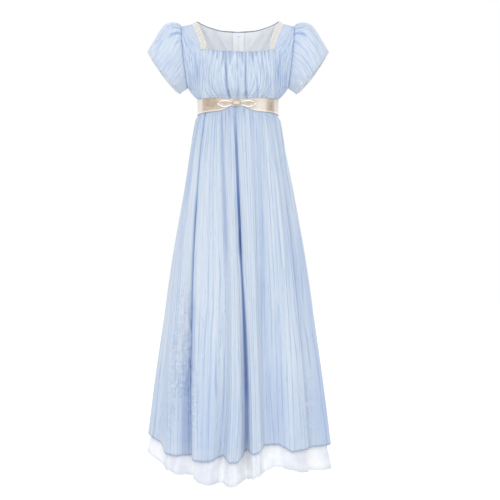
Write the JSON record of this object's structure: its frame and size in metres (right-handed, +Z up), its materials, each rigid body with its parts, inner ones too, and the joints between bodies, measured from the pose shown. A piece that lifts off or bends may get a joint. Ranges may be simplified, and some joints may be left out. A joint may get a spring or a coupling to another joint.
{
  "type": "regency gown",
  "caption": "Regency gown on a hollow form: square neck edged with lace, gathered front, puffed short sleeves, satin ribbon belt with a bow, long gathered skirt over a longer white underskirt.",
  "frame": {"origin": "centre between the wearer's shoulders, at the height of the shoulder seams", "axes": "+Z up, -Y toward the front of the gown, +X toward the wearer's left"},
  "size_m": [0.5644, 0.4703, 1.3683],
  "materials": {
    "blue_cloth": "fine crinkled semi-sheer cloth with narrow uneven stripes",
    "white_lining": "smooth white lining cloth",
    "ivory_lace": "fine ivory lace",
    "satin_ribbon": "champagne satin ribbon",
    "zip_tape": "woven zip tape",
    "zip_metal": "satin"
  },
  "bodies": {
    "gown": {"bodice_front": "blue_cloth", "side_front_left": "blue_cloth", "side_front_right": "blue_cloth", "back_left": "blue_cloth", "back_right": "blue_cloth", "sleeve_left": "blue_cloth", "sleeve_right": "blue_cloth", "skirt_front": "blue_cloth", "skirt_back_left": "blue_cloth", "skirt_back_right": "blue_cloth", "lining_back_left": "white_lining", "lining_back_right": "white_lining", "underskirt_front": "white_lining", "underskirt_back_left": "white_lining", "underskirt_back_right": "white_lining", "lace_left": "ivory_lace", "lace_right": "ivory_lace", "belt": "satin_ribbon", "bow_knot": "satin_ribbon", "bow_loop_left": "satin_ribbon", "bow_loop_right": "satin_ribbon", "zip_tape": "zip_tape", "zip_stop": "zip_metal", "zip_slider": "zip_metal"},
    "pull": {"zip_pull": "zip_metal"}
  },
  "joints": [
    {"name": "pull_hinge", "type": "hinge", "parent": "gown", "child": "pull", "pos_m": [0, 0.09448, -0.01925], "axis": [1, 0, 0], "range_deg": [0, 150]}
  ]
}
